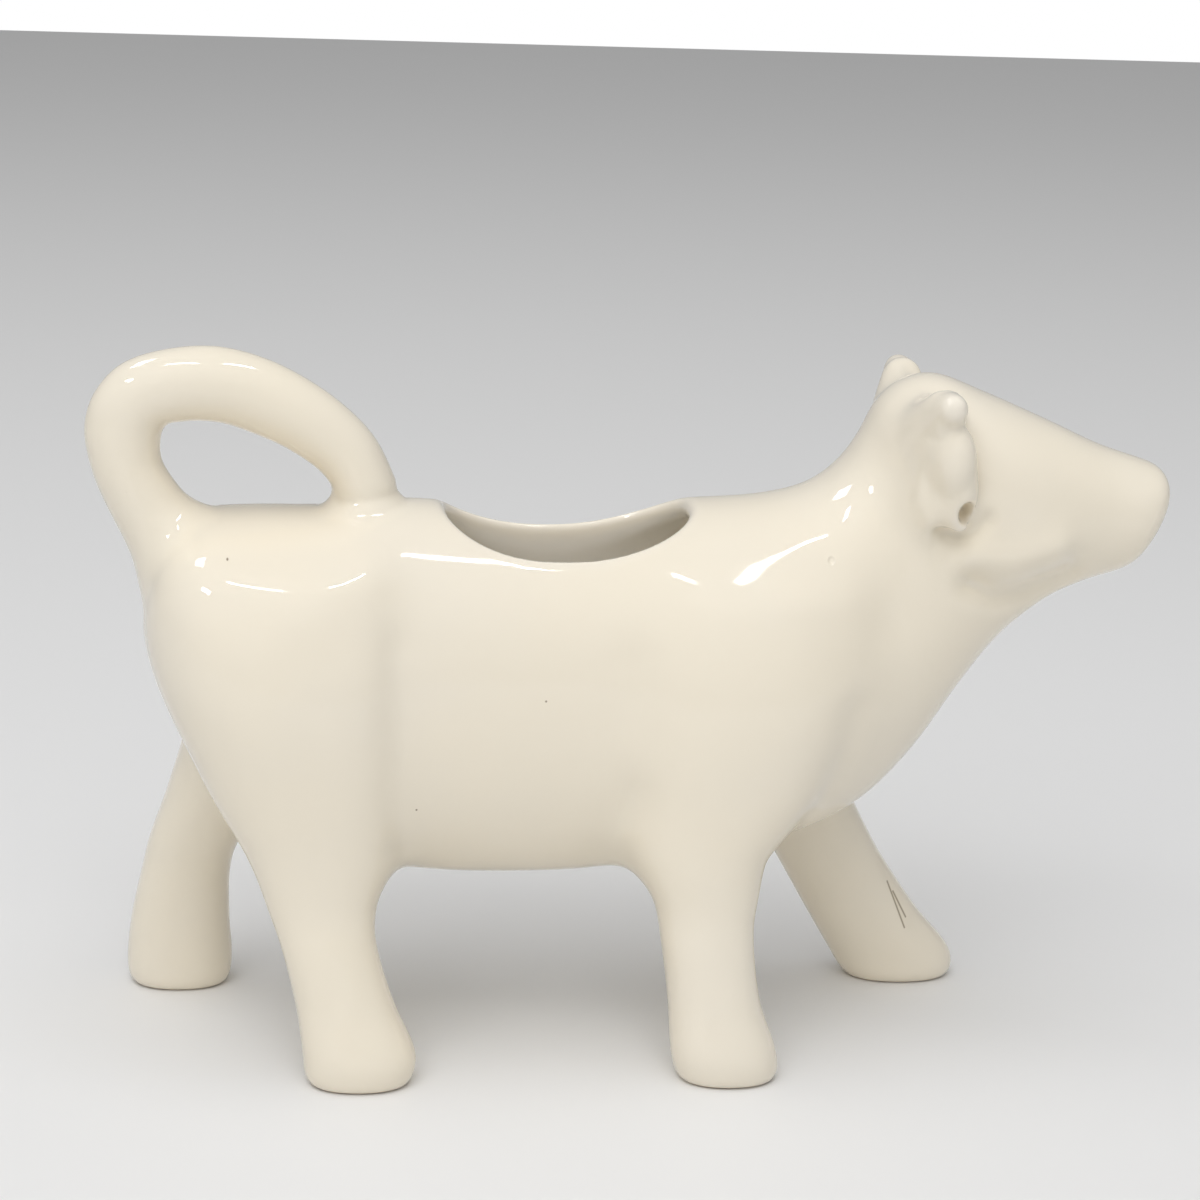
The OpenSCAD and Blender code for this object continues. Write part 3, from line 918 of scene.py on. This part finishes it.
@dataclass(frozen=True)
class GlazeFinish:
    """High-gloss creamy white glaze over white clay, matt where the feet were wiped clean."""

    name: str = "creamy_glaze"
    colour: Colour = (0.848, 0.778, 0.645, 1.0)
    drift: Colour = (0.830, 0.767, 0.650, 1.0)
    pooled: Colour = (0.770, 0.690, 0.540, 1.0)
    thinned: Colour = (0.885, 0.832, 0.740, 1.0)
    # Painted light: a paler colour inside the milk space, standing in for the light that bounces in the
    # hollow
    inside: Colour = (0.945, 0.915, 0.850, 1.0)
    clay: Colour = (0.70, 0.62, 0.51, 1.0)
    iron: Colour = (0.16, 0.10, 0.05, 1.0)
    scratch: Colour = (0.30, 0.24, 0.16, 1.0)
    # Where the glaze is pooled and thinned, by curvature, and where light is painted inside the milk space
    # as a paler colour, by depth in millimetres
    pooled_curve: Pair = (-0.30, -0.01)
    thinned_curve: Pair = (0.14, 0.50)
    lit_inside_depth: Pair = (1.6, 3.0)
    # Noise: its scale and detail, and the range that counts or its height on the glaze in millimetres
    uneven_scale: float = 160.0
    uneven_curve: float = 0.06
    drift_noise: Pair = (22.0, 3.0)
    drift_range: Pair = (0.38, 0.66)
    smudge_noise: Pair = (75.0, 4.0)
    smudge_range: Pair = (0.50, 0.72)
    ripple: Triple = (55.0, 1.0, 0.035)
    peel: Triple = (520.0, 1.0, 0.0012)
    grit: Triple = (2600.0, 3.0, 0.03)
    # Dots: their scale, the share of cells without one, and their radius as a share of a cell
    large_specks: Triple = (150.0, 0.985, 0.035)
    small_specks: Triple = (330.0, 0.992, 0.05)
    pits: Triple = (210.0, 0.985, 0.06)
    pit_height: float = -0.012
    # Marks at their own places, in metres
    wiped_height: Pair = (0.00005, 0.00030)
    wiped_wander: float = 0.0005
    scratches: tuple[tuple[Triple, Triple], ...] = (
        ((0.0468, 0.0, 0.0162), (0.0492, 0.0, 0.0117)),
        ((0.0457, 0.0, 0.0180), (0.0490, 0.0, 0.0100)),
    )
    scratched_y: float = 0.0140
    scratch_width: float = 0.0002
    pinholes: tuple[Triple, ...] = (
        (-0.0150, 0.0, 0.0585), (-0.0336, 0.0, 0.0418), (-0.0613, 0.0, 0.0784),
    )
    pinhole_radius: float = 0.00023
    crater: Triple = (0.0274, 0.0, 0.0786)
    crater_radius: float = 0.0007
    crater_height: float = -0.15
    # Roughness of the glaze, and what smudges, scratches and bare clay add to it
    roughness: float = 0.055
    smudge_roughness: float = 0.045
    scratch_roughness: float = 0.4
    clay_roughness: float = 0.75
    refraction: float = 1.5

    def relief(self, bench: NodeBench, place: Socket, noise: Triple) -> Socket:
        """Return noise of the given scale and detail, times its height."""
        scale, detail, height = noise
        return bench.math("MULTIPLY", bench.noise(place, scale, detail), height)

    def masks(self) -> bpy.types.NodeTree:
        """Build the group that says where the glaze is pooled, thin, specked, scratched or wiped off.

        Returns:
            The node group, which puts out a mask for each and the glaze's height in millimetres.
        """
        group = bpy.data.node_groups.new("glaze_masks", "ShaderNodeTree")
        group.interface.new_socket("Position", in_out="INPUT", socket_type="NodeSocketVector")
        group.interface.new_socket("Curvature", in_out="INPUT", socket_type="NodeSocketFloat")
        bench = NodeBench(group)
        given = bench.add("NodeGroupInput").outputs
        place, curvature = given["Position"], given["Curvature"]
        x, y, z = bench.add("ShaderNodeSeparateXYZ", {0: place}).outputs
        side_view = bench.add("ShaderNodeCombineXYZ", {0: x, 2: z}).outputs[0]
        near_side = bench.math("LESS_THAN", y, 0.0)
        uneven = bench.noise(place, self.uneven_scale)
        bent = bench.math("SUBTRACT", curvature, self.uneven_curve / 2)
        bent = bench.math("MULTIPLY_ADD", uneven, self.uneven_curve, bent)
        specks = [bench.dots(place, *dots) for dots in (self.large_specks, self.small_specks)]
        specks = bench.math("ADD", *specks)
        for middle in self.pinholes:
            pinhole = bench.spot(side_view, Vector(middle), self.pinhole_radius)
            specks = bench.math("MULTIPLY_ADD", pinhole, near_side, specks)
        crater = bench.spot(side_view, Vector(self.crater), self.crater_radius)
        crater = bench.math("MULTIPLY", crater, near_side)
        scratches = bench.math("MAXIMUM", *(
            bench.line(side_view, Vector(start), Vector(end), self.scratch_width)
            for start, end in self.scratches
        ))
        scratched_side = bench.math("COMPARE", y, self.scratched_y, 0.5 * self.scratched_y)
        wiped = bench.math("MULTIPLY_ADD", uneven, -self.wiped_wander, z)
        wiped = bench.math("SUBTRACT", 1.0, bench.rise(wiped, *self.wiped_height))
        reliefs = self.ripple, self.peel, self.grit
        ripple, peel, grit = (self.relief(bench, place, noise) for noise in reliefs)
        pits = bench.math("MULTIPLY", bench.dots(place, *self.pits), self.pit_height)
        smooth = bench.math("MULTIPLY_ADD", crater, self.crater_height, ripple)
        smooth = bench.math("ADD", smooth, bench.math("ADD", peel, pits))
        values = {
            "Pooled": bench.math("SUBTRACT", 1.0, bench.rise(bent, *self.pooled_curve)),
            "Thin": bench.rise(bent, *self.thinned_curve),
            "Drift": bench.rise(bench.noise(place, *self.drift_noise), *self.drift_range),
            "Specks": bench.math("MINIMUM", specks, 1.0),
            "Scratches": bench.math("MULTIPLY", scratches, scratched_side),
            "Wiped": wiped,
            "Smudges": bench.rise(bench.noise(place, *self.smudge_noise), *self.smudge_range),
            "Height": bench.math("MULTIPLY_ADD", grit, wiped, smooth),
        }
        for name in values:
            group.interface.new_socket(name, in_out="OUTPUT", socket_type="NodeSocketFloat")
        bench.add("NodeGroupOutput", values)
        return group

    def material(self) -> bpy.types.Material:
        """Build the glaze's material: colours laid over each other, each by its mask and strength.

        Returns:
            The material.
        """
        material = bpy.data.materials.new(self.name)
        material.use_nodes = True
        link, bench = material.node_tree.links.new, NodeBench(material.node_tree)
        shader = material.node_tree.nodes["Principled BSDF"]
        place = bench.add("ShaderNodeTexCoord").outputs["Object"]
        marks = (bench.add("ShaderNodeAttribute", attribute_name=name) for name in (CURVATURE, DEPTH))
        curvature, depth = (mark.outputs["Fac"] for mark in marks)
        given = {"Position": place, "Curvature": curvature}
        where = bench.add("ShaderNodeGroup", given, node_tree=self.masks()).outputs
        layers = [
            (where["Drift"], 1.0, self.drift),
            (where["Pooled"], 0.75, self.pooled),
            (where["Thin"], 0.6, self.thinned),
            # Painted light: paler inside the milk space, deeper under the outside of the casting
            (bench.rise(depth, *self.lit_inside_depth), 1.0, self.inside),
            (where["Specks"], 0.8, self.iron),
            (where["Scratches"], 0.85, self.scratch),
            (where["Wiped"], 1.0, self.clay),
        ]
        colour = self.colour
        for mask, strength, over in layers:
            colour = bench.tint(bench.math("MULTIPLY", mask, strength), colour, over)
        link(colour, shader.inputs["Base Color"])
        smudged = bench.math("MULTIPLY", where["Smudges"], self.smudge_roughness)
        worn = bench.math("MULTIPLY_ADD", where["Scratches"], self.scratch_roughness, smudged)
        bare = bench.math("MULTIPLY_ADD", where["Wiped"], self.clay_roughness, self.roughness)
        link(bench.math("ADD", worn, bare), shader.inputs["Roughness"])
        bump = bench.add("ShaderNodeBump", {"Strength": 1.0, "Distance": MM, "Height": where["Height"]})
        link(bump.outputs["Normal"], shader.inputs["Normal"])
        shader.inputs["IOR"].default_value = self.refraction
        return material


# The creases and swellings of the modelling, seen from the side
MODELLING = {
    "in front of the haunch": Stroke(((-37, 66), (-36.8, 55), (-36.5, 36)), 0.55, 3.0),
    "hip": Stroke(((-50, 72), (-42, 76.5)), -0.7, 5.0),
    "behind the shoulder": Stroke(((-1.9, 64), (-0.3, 52), (-1.5, 42)), 0.5, 3.5),
    "behind the elbow": Stroke(((-1.2, 44), (-2.6, 39), (-4.5, 34)), 0.6, 3.4),
    "before the near shoulder": Stroke(
        ((20.5, 33), (24, 37), (27, 42.5), (30, 50), (31, 56)), 0.9, 3.2, (Side.RIGHT,)
    ),
    "before the far shoulder": Stroke(((31, 34), (33, 40), (34, 48)), 0.6, 3.2, (Side.LEFT,)),
    "hollow of the neck": Stroke(((38, 90), (35, 80), (36.5, 70)), 0.7, 4.5),
    "under the jaw": Stroke(((49.5, 74.8), (53.5, 72.8), (58, 73.2), (65, 76)), 1.7, 2.3),
    "end of the jaw": Stroke(((46.5, 76), (49.5, 74.6)), 0.4, 2.2),
    "cheek": Stroke(((49, 79.2), (55, 78.4), (62, 80.2)), -1.2, 3.0),
    "front foot of the loop": Stroke(((-45, 84.6), (-35.4, 85.8)), 0.4, 0.7, inner=-2.0),
    "below the ear": Stroke(((43.4, 83.3), (45.4, 82.4), (47.2, 82.1), (49, 82.8), (50.8, 84.8)), 0.9, 1.2),
    "shade of the ear": Stroke(((43.6, 80.8), (46.6, 80.6)), 0.7, 3.0),
    "between ear and horn": Stroke(((41.6, 97.4), (43.6, 98.0), (46.4, 98.6)), 0.4, 0.8),
}

# The boss that a horn stands on, an ear's lobe and cup, and the pocket in the cup, on the left side:
# middle and half sizes along x, y and z
HORN_BOSS = ((43.3, 10.0, 97.7), (3.2, 4.2, 3.4))
EAR_LOBE = ((44.6, 17.3, 94.2), (3.3, 3.7, 5.4))
EAR_CUP = ((46.2, 16.4, 88.0), (2.4, 2.8, 4.8))
EAR_POCKET = ((46.9, 19.4, 86.3), (1.3, 5.4, 1.9))


@dataclass
class Creamer:
    """The whole creamer: its forms melted together, hollowed and parted at the luting joints."""

    sizes: Sizes = field(default_factory=Sizes)
    clay: Clay = field(default_factory=Clay)
    leg_fillet: float = 9.0
    rump_fillet: float = 7.0
    loop_foot_fillet: float = 1.2
    boss_fillet: float = 3.0
    lobe_fillet: float = 1.8
    pocket_round: float = 0.8
    glaze_round: float = 0.35
    shrinkage: float = 0.05
    curve_reach: float = 1.2
    adaptivity: float = 0.01

    def __post_init__(self) -> None:
        """Make the pieces that the creamer is luted from."""
        s, c = self.sizes, self.clay
        self.casting = Casting(s, c)
        self.legs = [
            Leg(name, Side[name.split("_")[0].upper()], shares, s, c) for name, shares in LEG_SHARES.items()
        ]
        self.tail = TailLoop(s, c)
        self.head_pieces = [HeadPiece(kind, side, s, c) for side in Side for kind in HeadKind]

    def join(self, whole: np.ndarray, form: Form, reach: float | np.ndarray) -> None:
        """Lute a form onto the whole, in place, with a fillet of the given reach."""
        window, distances = form
        whole[window.cut] = melted(whole[window.cut], distances, reach)

    def form(self) -> tuple[Block, Block]:
        """Melt, model, hollow and soften the whole creamer, and cut its feet flat on the table.

        Returns:
            The creamer, and the depth of each place under the outside of its body casting.
        """
        casting = self.casting.form()
        whole = casting.copy()
        for leg in self.legs:
            self.join(whole, leg.form(), self.leg_fillet)
        window, loop = self.tail.form()
        forward = np.clip((window.x - window.x.min()) / self.sizes.loop_l, 0, 1)
        fillet = self.rump_fillet + forward * (self.loop_foot_fillet - self.rump_fillet)
        self.join(whole, (window, loop), fillet)
        for side in Side:
            self.join(whole, self.clay.pellet(HORN_BOSS, side), self.boss_fillet)
        for piece in self.head_pieces:
            window, form = piece.form()
            self.join(whole, (window, form), piece.fillet(window))
        for stroke in MODELLING.values():
            for side in stroke.sides:
                self.clay.stroke(whole, stroke, side)
        for side in Side:
            for pellet in (EAR_LOBE, EAR_CUP):
                self.join(whole, self.clay.pellet(pellet, side), self.lobe_fillet)
            window, pocket = self.clay.pellet(EAR_POCKET, side)
            whole[window.cut] = carved(whole[window.cut], pocket, self.pocket_round)
        soft = self.clay.softened(self.casting.hollowed(whole, casting), self.glaze_round) + self.shrinkage
        table = -(self.clay.low[2] + self.clay.step * np.arange(self.clay.shape[2]))
        whole = Block(np.maximum(soft, table).astype(np.float32), self.clay)
        return whole, Block(-casting, self.clay)

    def build(self, finish: bpy.types.Material) -> None:
        """Make one closed object for each node of the frame, all parted from one skin.

        Args:
            finish: the glaze.
        """
        block, depth = self.form()
        rise = self.clay.softened(block.distances, self.curve_reach) - block.distances
        curvature = Block(rise / self.curve_reach**2, self.clay)
        skin = block.skin(self.adaptivity)
        LOG.info("skin: %d points", len(skin.points))
        whole = mesh_object("creamer_whole", skin)
        parting = Parting(whole, block, {CURVATURE: curvature, DEPTH: depth}, finish)
        pieces = [*self.legs, self.tail, *self.head_pieces]
        cuts = [piece.reach() for piece in pieces]
        for piece, cut in zip(pieces, cuts):
            parting.part(piece.name, [cut], "INTERSECT")
        parting.part("body_casting", cuts, "DIFFERENCE")
        discard(whole)


@dataclass(frozen=True)
class Parting:
    """The work with the knife: the creamer in one skin, and what each piece takes over from it.

    The marks are what the glaze reads: the mean curvature, positive on edges and negative in
    creases, and the depth under the outside. Each is kept as an attribute under its name.
    """

    whole: bpy.types.Object
    block: Block
    marks: dict[str, Block]
    finish: bpy.types.Material
    slack: float = 0.01
    on_plane: float = 1e-3
    on_foot: float = 0.05
    upright: float = 0.999

    def part(self, name: str, cuts: list[Box], operation: str) -> None:
        """Part the creamer at its luting joints and dress what is left as the piece of one node.

        Args:
            name: the node that the piece stands for.
            cuts: corners of the boxes to keep inside or to take away.
            operation: INTERSECT to keep what the box holds, DIFFERENCE to take it away.
        """
        knives = [mesh_object(f"{name}_knife", box_skin(low, high)) for low, high in cuts]
        for knife in knives:
            modifier = self.whole.modifiers.new("luting joint", "BOOLEAN")
            modifier.operation, modifier.object, modifier.solver = operation, knife, "MANIFOLD"
        evaluated = self.whole.evaluated_get(bpy.context.evaluated_depsgraph_get())
        mesh = bpy.data.meshes.new_from_object(evaluated)
        self.whole.modifiers.clear()
        for knife in knives:
            discard(knife)
        if len(mesh.polygons) == 0:
            raise RuntimeError(f"{name}: nothing was left after parting")
        self.shade(mesh, cuts)
        mesh.transform(Matrix.Scale(MM, 4))
        mesh.name = name
        mesh.materials.clear()
        mesh.materials.append(self.finish)
        piece = placed(f"{name}_skin", mesh)
        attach(piece, BODY)
        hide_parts(name)
        LOG.info("%s: %d faces", name, len(mesh.polygons))

    def shade(self, mesh: bpy.types.Mesh, cuts: list[Box]) -> None:
        """Mark the mesh for the glaze, and give its outer skin the form's own normals.

        The luting faces and the feet keep their flat ones.

        Args:
            mesh: the parted piece, in millimetres.
            cuts: corners of the boxes that parted it.
        """
        points = taken(mesh.vertices, "co", 3)
        normals = self.block.normals(points)
        for name, mark in self.marks.items():
            attribute = mesh.attributes.new(name, "FLOAT", "POINT")
            attribute.data.foreach_set("value", mark.read(points).astype(np.float32))
        flat, middle = taken(mesh.polygons, "normal", 3), taken(mesh.polygons, "center", 3)
        on_joint = (flat[:, 2] < -self.upright) & (np.abs(middle[:, 2]) < self.on_foot)
        for low, high in cuts:
            inside = np.all((middle > low - self.slack) & (middle < high + self.slack), axis=1)
            for axis, face in [*enumerate(low), *enumerate(high)]:
                near = np.abs(middle[:, axis] - face) < self.on_plane
                on_joint |= inside & near & (np.abs(flat[:, axis]) > self.upright)
        corner_face = np.repeat(np.arange(len(flat)), taken(mesh.polygons, "loop_total", 1, int))
        corner_vertex = taken(mesh.loops, "vertex_index", 1, int)
        corner_normals = np.where(on_joint[corner_face][:, None], flat[corner_face], normals[corner_vertex])
        mesh.polygons.foreach_set("use_smooth", np.ones(len(mesh.polygons), dtype=bool))
        mesh.normals_split_custom_set(corner_normals)


def taken(items: bpy.types.bpy_prop_collection, name: str, width: int, kind: type = float) -> np.ndarray:
    """Read one property of all of a mesh's items.

    Args:
        items: the vertices, corners or faces.
        name: the property.
        width: how many numbers it has.
        kind: their type.

    Returns:
        The numbers, with a row to an item where it has more than one.
    """
    values = np.empty(width * len(items), dtype=kind)
    items.foreach_get(name, values)
    return values.reshape(-1, width) if width > 1 else values


def box_skin(low: np.ndarray, high: np.ndarray) -> Skin:
    """Make the skin of a box.

    Args:
        low: its lowest corner.
        high: its highest corner.

    Returns:
        Its six sides, facing outwards.
    """
    unit = np.array([[i & 1, i >> 1 & 1, i >> 2] for i in range(8)], dtype=float)
    sides = [[0, 2, 3, 1], [4, 5, 7, 6], [0, 1, 5, 4], [2, 6, 7, 3], [0, 4, 6, 2], [1, 3, 7, 5]]
    return Skin(low + unit * (high - low), np.array(sides), np.empty((0, 3), dtype=int))


def discard(obj: bpy.types.Object) -> None:
    """Remove a helper object and its mesh.

    Args:
        obj: the helper.
    """
    mesh = obj.data
    bpy.data.objects.remove(obj)
    bpy.data.meshes.remove(mesh)


def placed(name: str, data: bpy.types.ID) -> bpy.types.Object:
    """Put a new object into the scene.

    Args:
        name: the object's name.
        data: its mesh, lamp or camera.

    Returns:
        The object.
    """
    obj = bpy.data.objects.new(name, data)
    bpy.context.scene.collection.objects.link(obj)
    return obj


def mesh_object(name: str, skin: Skin) -> bpy.types.Object:
    """Put a skin into a new mesh object.

    Args:
        name: the name of the object and its mesh.
        skin: the surface.

    Returns:
        The object.
    """
    mesh = bpy.data.meshes.new(name)
    mesh.from_pydata(skin.points, [], [*skin.quads.tolist(), *skin.triangles.tolist()])
    mesh.update()
    return placed(name, mesh)


@dataclass
class Studio:
    """A pale floor, soft studio light and the camera at the photograph's angle."""

    distance: float = 0.4543
    elevation: float = 13.4
    yaw: float = 7.0
    roll: float = 1.9
    aim: Triple = (-0.0050, 0.0, 0.06875)
    field_of_view: float = 22.77
    nearest: float = 0.01
    floor_half: float = 3.0
    floor_colour: Colour = (0.80, 0.80, 0.80, 1.0)
    floor_roughness: float = 0.6
    lamps_aim: Triple = (0.0, 0.0, 0.05)
    world_colour: Colour = (1.0, 1.0, 1.0, 1.0)
    world_light: float = 0.40
    bounces: int = 12

    def camera(self) -> None:
        """Place the camera: yaw turns the cow's head away, elevation looks down on it."""
        data = bpy.data.cameras.new("camera")
        data.angle = math.radians(self.field_of_view)
        data.clip_start = self.nearest
        camera = placed("camera", data)
        yaw, tilt, roll = (math.radians(v) for v in (self.yaw, self.elevation, self.roll))
        turn = Matrix.Rotation(-yaw, 3, "Z") @ Matrix.Rotation(math.pi / 2 - tilt, 3, "X")
        turn = turn @ Matrix.Rotation(roll, 3, "Z")
        back = turn @ Vector((0, 0, 1))
        camera.matrix_world = Matrix.Translation(Vector(self.aim) + back * self.distance) @ turn.to_4x4()
        bpy.context.scene.camera = camera

    def floor(self) -> None:
        """Lay the floor."""
        corners = self.floor_half * np.array([[-1, -1, 0], [1, -1, 0], [1, 1, 0], [-1, 1, 0]])
        floor = mesh_object("floor", Skin(corners, np.array([[0, 1, 2, 3]]), np.empty((0, 3), dtype=int)))
        material = bpy.data.materials.new("floor")
        material.use_nodes = True
        shader = material.node_tree.nodes["Principled BSDF"]
        shader.inputs["Base Color"].default_value = self.floor_colour
        shader.inputs["Roughness"].default_value = self.floor_roughness
        floor.data.materials.append(material)

    def lamp(self, name: str, place: Triple, size: Pair, power: float, shows: bool) -> None:
        """Hang a rectangular lamp that faces the creamer.

        Args:
            name: the lamp's name.
            place: where it hangs.
            size: its length and width.
            power: in watts.
            shows: whether the glaze mirrors it, or it lights the scene unseen.
        """
        data = bpy.data.lights.new(name, "AREA")
        data.shape, data.size, data.size_y, data.energy = "RECTANGLE", size[0], size[1], power
        lamp = placed(name, data)
        look = (Vector(self.lamps_aim) - Vector(place)).to_track_quat("-Z", "Y")
        lamp.matrix_world = Matrix.Translation(place) @ look.to_matrix().to_4x4()
        lamp.visible_glossy, lamp.visible_diffuse = shows, not shows

    def light(self) -> None:
        """Light the object softly from the front, with a strip overhead for the glaze's streaks."""
        self.lamp("overhead", (-0.2, -0.4, 1.6), (1.6, 1.6), 14.0, False)
        self.lamp("front", (-0.3, -1.1, 1.1), (1.2, 0.9), 8.0, False)
        self.lamp("right strip", (0.22, -0.18, 1.15), (0.34, 0.045), 2.3, True)
        self.lamp("middle strip", (-0.22, -0.27, 1.05), (0.24, 0.04), 1.5, True)
        self.lamp("left strip", (-0.70, -0.40, 0.85), (0.20, 0.09), 2.4, True)
        self.lamp("back window", (-0.50, 0.35, 1.00), (0.25, 0.18), 2.4, True)
        world = bpy.data.worlds.new("studio")
        bpy.context.scene.world = world
        world.use_nodes = True
        background, bench = world.node_tree.nodes["Background"], NodeBench(world.node_tree)
        background.inputs["Color"].default_value = self.world_colour
        inputs = {0: bench.add("ShaderNodeLightPath").outputs["Is Camera Ray"], 1: self.world_light}
        strength = bench.add("ShaderNodeMath", inputs, operation="ADD", use_clamp=True)
        world.node_tree.links.new(strength.outputs[0], background.inputs["Strength"])

    def build(self) -> None:
        """Set the whole studio up."""
        bpy.context.scene.view_settings.view_transform = "Standard"
        bpy.context.scene.cycles.diffuse_bounces = self.bounces
        self.camera()
        self.floor()
        self.light()


def main() -> None:
    """Build the studio and the creamer."""
    logging.basicConfig(level=logging.INFO, format="%(name)s: %(message)s", stream=sys.stdout)
    Studio().build()
    Creamer().build(GlazeFinish().material())


if __name__ == "__main__":
    main()
